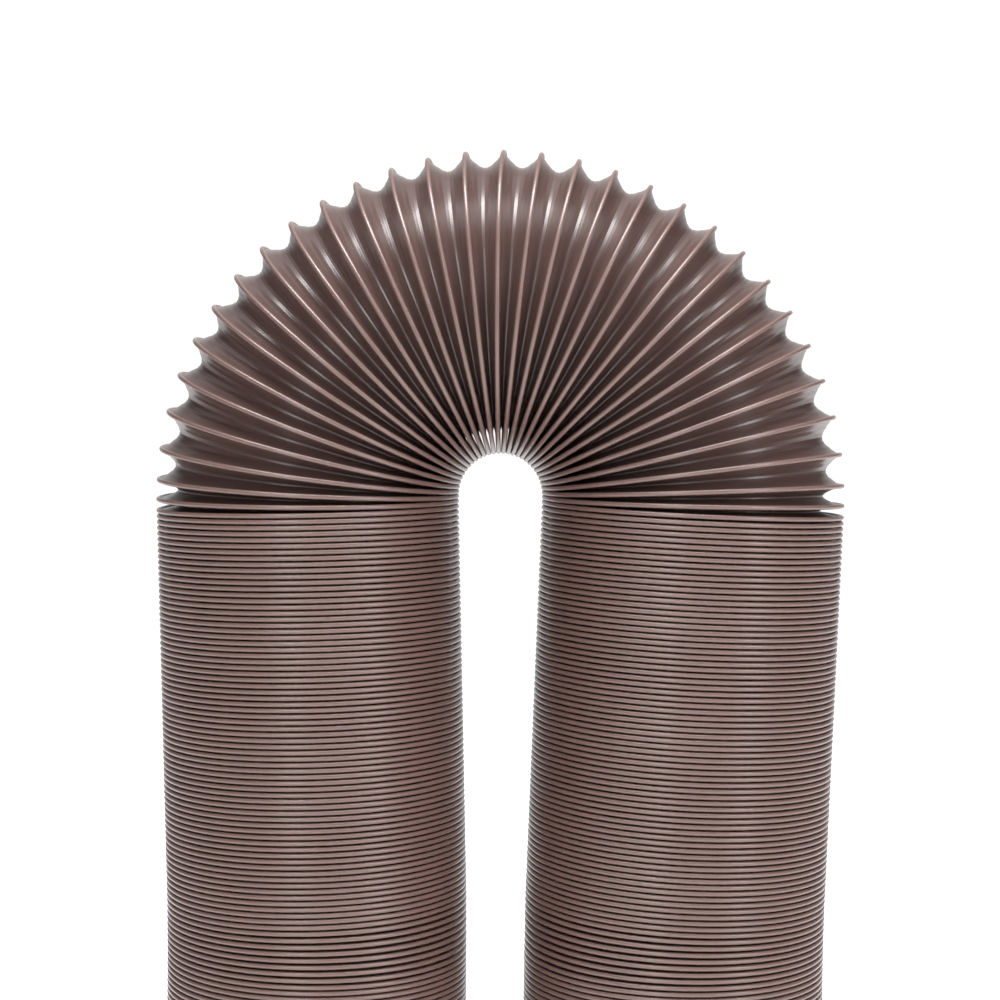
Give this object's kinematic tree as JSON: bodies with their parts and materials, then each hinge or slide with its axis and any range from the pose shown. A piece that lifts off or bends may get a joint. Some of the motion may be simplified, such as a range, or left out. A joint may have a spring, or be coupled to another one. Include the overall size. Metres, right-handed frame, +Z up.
{
  "type": "flexible air duct",
  "caption": "Wire-sprung flexible air duct that folds like a bellows, bent over into an arch with a soft cuff on each end.",
  "frame": {"origin": "on the floor, midway between the two ends that the duct stands on", "axes": "+X from the left leg to the right leg, +Y through the arch, +Z up"},
  "size_m": [0.3412, 0.15, 0.4692],
  "materials": {
    "duct_wall": "soft glossy brown PVC film and bead",
    "spring_wire": "drawn spring steel",
    "cuff": "soft moulded brown PVC"
  },
  "bodies": {
    "left_foot": {"left_cuff": "cuff", "left_foot_wall": "duct_wall", "left_foot_wire": "spring_wire"},
    "left_lower": {"left_lower_wall": "duct_wall", "left_lower_wire": "spring_wire"},
    "left_upper": {"left_upper_wall": "duct_wall", "left_upper_wire": "spring_wire"},
    "arch_turn_1": {"wire_turn_1": "spring_wire"},
    "arch_turn_2": {"wire_turn_2": "spring_wire"},
    "arch_turn_3": {"wire_turn_3": "spring_wire"},
    "arch_turn_4": {"wire_turn_4": "spring_wire", "arch_film_1": "duct_wall", "arch_beads_1": "duct_wall"},
    "arch_turn_5": {"wire_turn_5": "spring_wire"},
    "arch_turn_6": {"wire_turn_6": "spring_wire"},
    "arch_turn_7": {"wire_turn_7": "spring_wire"},
    "arch_turn_8": {"wire_turn_8": "spring_wire"},
    "arch_turn_9": {"wire_turn_9": "spring_wire"},
    "arch_turn_10": {"wire_turn_10": "spring_wire"},
    "arch_turn_11": {"wire_turn_11": "spring_wire"},
    "arch_turn_12": {"wire_turn_12": "spring_wire", "arch_film_2": "duct_wall", "arch_beads_2": "duct_wall"},
    "arch_turn_13": {"wire_turn_13": "spring_wire"},
    "arch_turn_14": {"wire_turn_14": "spring_wire"},
    "arch_turn_15": {"wire_turn_15": "spring_wire"},
    "arch_turn_16": {"wire_turn_16": "spring_wire"},
    "arch_turn_17": {"wire_turn_17": "spring_wire"},
    "arch_turn_18": {"wire_turn_18": "spring_wire"},
    "arch_turn_19": {"wire_turn_19": "spring_wire"},
    "arch_turn_20": {"wire_turn_20": "spring_wire", "arch_film_3": "duct_wall", "arch_beads_3": "duct_wall"},
    "arch_turn_21": {"wire_turn_21": "spring_wire"},
    "arch_turn_22": {"wire_turn_22": "spring_wire"},
    "arch_turn_23": {"wire_turn_23": "spring_wire"},
    "arch_turn_24": {"wire_turn_24": "spring_wire"},
    "arch_turn_25": {"wire_turn_25": "spring_wire"},
    "arch_turn_26": {"wire_turn_26": "spring_wire"},
    "arch_turn_27": {"wire_turn_27": "spring_wire"},
    "arch_turn_28": {"wire_turn_28": "spring_wire", "arch_film_4": "duct_wall", "arch_beads_4": "duct_wall"},
    "arch_turn_29": {"wire_turn_29": "spring_wire"},
    "arch_turn_30": {"wire_turn_30": "spring_wire"},
    "arch_turn_31": {"wire_turn_31": "spring_wire"},
    "right_upper": {"right_upper_wall": "duct_wall", "right_upper_wire": "spring_wire"},
    "right_lower": {"right_lower_wall": "duct_wall", "right_lower_wire": "spring_wire"},
    "right_foot": {"right_foot_wall": "duct_wall", "right_foot_wire": "spring_wire", "right_cuff": "cuff"}
  },
  "joints": [
    {"name": "left_stretch_1", "type": "slide", "parent": "left_foot", "child": "left_lower", "axis": [0, 0, 1], "range_m": [0, 0.36]},
    {"name": "left_stretch_2", "type": "slide", "parent": "left_lower", "child": "left_upper", "axis": [0, 0, 1], "range_m": [0, 0.36]},
    {"name": "bend_1", "type": "hinge", "parent": "left_upper", "child": "arch_turn_1", "pos_m": [-0.02169, 0, 0.29549], "axis": [0, 1, 0], "range_deg": [-1.27, 0]},
    {"name": "bend_2", "type": "hinge", "parent": "arch_turn_1", "child": "arch_turn_2", "pos_m": [-0.02171, 0, 0.29789], "axis": [0, 1, 0], "range_deg": [-2.86, 0]},
    {"name": "bend_3", "type": "hinge", "parent": "arch_turn_2", "child": "arch_turn_3", "pos_m": [-0.02161, 0, 0.30029], "axis": [0, 1, 0], "range_deg": [-5.08, 0]},
    {"name": "bend_4", "type": "hinge", "parent": "arch_turn_3", "child": "arch_turn_4", "pos_m": [-0.0213, 0, 0.30267], "axis": [0, 1, 0], "range_deg": [-6.35, 0], "deforming": ["arch_film_1", "arch_beads_1"]},
    {"name": "bend_5", "type": "hinge", "parent": "arch_turn_4", "child": "arch_turn_5", "pos_m": [-0.02072, 0, 0.305], "axis": [0, 1, 0], "range_deg": [-6.35, 0]},
    {"name": "bend_6", "type": "hinge", "parent": "arch_turn_5", "child": "arch_turn_6", "pos_m": [-0.0199, 0, 0.30725], "axis": [0, 1, 0], "range_deg": [-6.35, 0]},
    {"name": "bend_7", "type": "hinge", "parent": "arch_turn_6", "child": "arch_turn_7", "pos_m": [-0.01883, 0, 0.3094], "axis": [0, 1, 0], "range_deg": [-6.35, 0]},
    {"name": "bend_8", "type": "hinge", "parent": "arch_turn_7", "child": "arch_turn_8", "pos_m": [-0.01752, 0, 0.31142], "axis": [0, 1, 0], "range_deg": [-6.35, 0]},
    {"name": "bend_9", "type": "hinge", "parent": "arch_turn_8", "child": "arch_turn_9", "pos_m": [-0.01601, 0, 0.31328], "axis": [0, 1, 0], "range_deg": [-6.35, 0]},
    {"name": "bend_10", "type": "hinge", "parent": "arch_turn_9", "child": "arch_turn_10", "pos_m": [-0.01429, 0, 0.31496], "axis": [0, 1, 0], "range_deg": [-6.35, 0]},
    {"name": "bend_11", "type": "hinge", "parent": "arch_turn_10", "child": "arch_turn_11", "pos_m": [-0.0124, 0, 0.31644], "axis": [0, 1, 0], "range_deg": [-6.35, 0]},
    {"name": "bend_12", "type": "hinge", "parent": "arch_turn_11", "child": "arch_turn_12", "pos_m": [-0.01036, 0, 0.3177], "axis": [0, 1, 0], "range_deg": [-6.35, 0], "deforming": ["arch_film_2", "arch_beads_2"]},
    {"name": "bend_13", "type": "hinge", "parent": "arch_turn_12", "child": "arch_turn_13", "pos_m": [-0.0082, 0, 0.31873], "axis": [0, 1, 0], "range_deg": [-6.35, 0]},
    {"name": "bend_14", "type": "hinge", "parent": "arch_turn_13", "child": "arch_turn_14", "pos_m": [-0.00593, 0, 0.31952], "axis": [0, 1, 0], "range_deg": [-6.35, 0]},
    {"name": "bend_15", "type": "hinge", "parent": "arch_turn_14", "child": "arch_turn_15", "pos_m": [-0.00359, 0, 0.32004], "axis": [0, 1, 0], "range_deg": [-6.35, 0]},
    {"name": "bend_16", "type": "hinge", "parent": "arch_turn_15", "child": "arch_turn_16", "pos_m": [-0.0012, 0, 0.32031], "axis": [0, 1, 0], "range_deg": [-6.35, 0]},
    {"name": "bend_17", "type": "hinge", "parent": "arch_turn_16", "child": "arch_turn_17", "pos_m": [0.0012, 0, 0.32031], "axis": [0, 1, 0], "range_deg": [-6.35, 0]},
    {"name": "bend_18", "type": "hinge", "parent": "arch_turn_17", "child": "arch_turn_18", "pos_m": [0.00359, 0, 0.32004], "axis": [0, 1, 0], "range_deg": [-6.35, 0]},
    {"name": "bend_19", "type": "hinge", "parent": "arch_turn_18", "child": "arch_turn_19", "pos_m": [0.00593, 0, 0.31952], "axis": [0, 1, 0], "range_deg": [-6.35, 0]},
    {"name": "bend_20", "type": "hinge", "parent": "arch_turn_19", "child": "arch_turn_20", "pos_m": [0.0082, 0, 0.31873], "axis": [0, 1, 0], "range_deg": [-6.35, 0], "deforming": ["arch_film_3", "arch_beads_3"]},
    {"name": "bend_21", "type": "hinge", "parent": "arch_turn_20", "child": "arch_turn_21", "pos_m": [0.01036, 0, 0.3177], "axis": [0, 1, 0], "range_deg": [-6.35, 0]},
    {"name": "bend_22", "type": "hinge", "parent": "arch_turn_21", "child": "arch_turn_22", "pos_m": [0.0124, 0, 0.31644], "axis": [0, 1, 0], "range_deg": [-6.35, 0]},
    {"name": "bend_23", "type": "hinge", "parent": "arch_turn_22", "child": "arch_turn_23", "pos_m": [0.01429, 0, 0.31496], "axis": [0, 1, 0], "range_deg": [-6.35, 0]},
    {"name": "bend_24", "type": "hinge", "parent": "arch_turn_23", "child": "arch_turn_24", "pos_m": [0.01601, 0, 0.31328], "axis": [0, 1, 0], "range_deg": [-6.35, 0]},
    {"name": "bend_25", "type": "hinge", "parent": "arch_turn_24", "child": "arch_turn_25", "pos_m": [0.01752, 0, 0.31142], "axis": [0, 1, 0], "range_deg": [-6.35, 0]},
    {"name": "bend_26", "type": "hinge", "parent": "arch_turn_25", "child": "arch_turn_26", "pos_m": [0.01883, 0, 0.3094], "axis": [0, 1, 0], "range_deg": [-6.35, 0]},
    {"name": "bend_27", "type": "hinge", "parent": "arch_turn_26", "child": "arch_turn_27", "pos_m": [0.0199, 0, 0.30725], "axis": [0, 1, 0], "range_deg": [-6.35, 0]},
    {"name": "bend_28", "type": "hinge", "parent": "arch_turn_27", "child": "arch_turn_28", "pos_m": [0.02072, 0, 0.305], "axis": [0, 1, 0], "range_deg": [-6.35, 0], "deforming": ["arch_film_4", "arch_beads_4"]},
    {"name": "bend_29", "type": "hinge", "parent": "arch_turn_28", "child": "arch_turn_29", "pos_m": [0.0213, 0, 0.30267], "axis": [0, 1, 0], "range_deg": [-6.35, 0]},
    {"name": "bend_30", "type": "hinge", "parent": "arch_turn_29", "child": "arch_turn_30", "pos_m": [0.02161, 0, 0.30029], "axis": [0, 1, 0], "range_deg": [-5.08, 0]},
    {"name": "bend_31", "type": "hinge", "parent": "arch_turn_30", "child": "arch_turn_31", "pos_m": [0.02171, 0, 0.29789], "axis": [0, 1, 0], "range_deg": [-2.86, 0]},
    {"name": "bend_32", "type": "hinge", "parent": "arch_turn_31", "child": "right_upper", "pos_m": [0.02169, 0, 0.29549], "axis": [0, 1, 0], "range_deg": [-1.27, 0]},
    {"name": "right_stretch_2", "type": "slide", "parent": "right_upper", "child": "right_lower", "axis": [0, 0, -1], "range_m": [0, 0.36]},
    {"name": "right_stretch_1", "type": "slide", "parent": "right_lower", "child": "right_foot", "axis": [0, 0, -1], "range_m": [0, 0.36]}
  ],
  "couplings": [
    {"joint": "left_stretch_2", "follows": "left_stretch_1", "ratio": 1},
    {"joint": "bend_1", "follows": "bend_32", "ratio": 1},
    {"joint": "bend_2", "follows": "bend_32", "ratio": 2.25},
    {"joint": "bend_3", "follows": "bend_32", "ratio": 4},
    {"joint": "bend_4", "follows": "bend_32", "ratio": 5},
    {"joint": "bend_5", "follows": "bend_32", "ratio": 5},
    {"joint": "bend_6", "follows": "bend_32", "ratio": 5},
    {"joint": "bend_7", "follows": "bend_32", "ratio": 5},
    {"joint": "bend_8", "follows": "bend_32", "ratio": 5},
    {"joint": "bend_9", "follows": "bend_32", "ratio": 5},
    {"joint": "bend_10", "follows": "bend_32", "ratio": 5},
    {"joint": "bend_11", "follows": "bend_32", "ratio": 5},
    {"joint": "bend_12", "follows": "bend_32", "ratio": 5},
    {"joint": "bend_13", "follows": "bend_32", "ratio": 5},
    {"joint": "bend_14", "follows": "bend_32", "ratio": 5},
    {"joint": "bend_15", "follows": "bend_32", "ratio": 5},
    {"joint": "bend_16", "follows": "bend_32", "ratio": 5},
    {"joint": "bend_17", "follows": "bend_32", "ratio": 5},
    {"joint": "bend_18", "follows": "bend_32", "ratio": 5},
    {"joint": "bend_19", "follows": "bend_32", "ratio": 5},
    {"joint": "bend_20", "follows": "bend_32", "ratio": 5},
    {"joint": "bend_21", "follows": "bend_32", "ratio": 5},
    {"joint": "bend_22", "follows": "bend_32", "ratio": 5},
    {"joint": "bend_23", "follows": "bend_32", "ratio": 5},
    {"joint": "bend_24", "follows": "bend_32", "ratio": 5},
    {"joint": "bend_25", "follows": "bend_32", "ratio": 5},
    {"joint": "bend_26", "follows": "bend_32", "ratio": 5},
    {"joint": "bend_27", "follows": "bend_32", "ratio": 5},
    {"joint": "bend_28", "follows": "bend_32", "ratio": 5},
    {"joint": "bend_29", "follows": "bend_32", "ratio": 5},
    {"joint": "bend_30", "follows": "bend_32", "ratio": 4},
    {"joint": "bend_31", "follows": "bend_32", "ratio": 2.25},
    {"joint": "right_stretch_2", "follows": "left_stretch_1", "ratio": 1},
    {"joint": "right_stretch_1", "follows": "left_stretch_1", "ratio": 1}
  ]
}
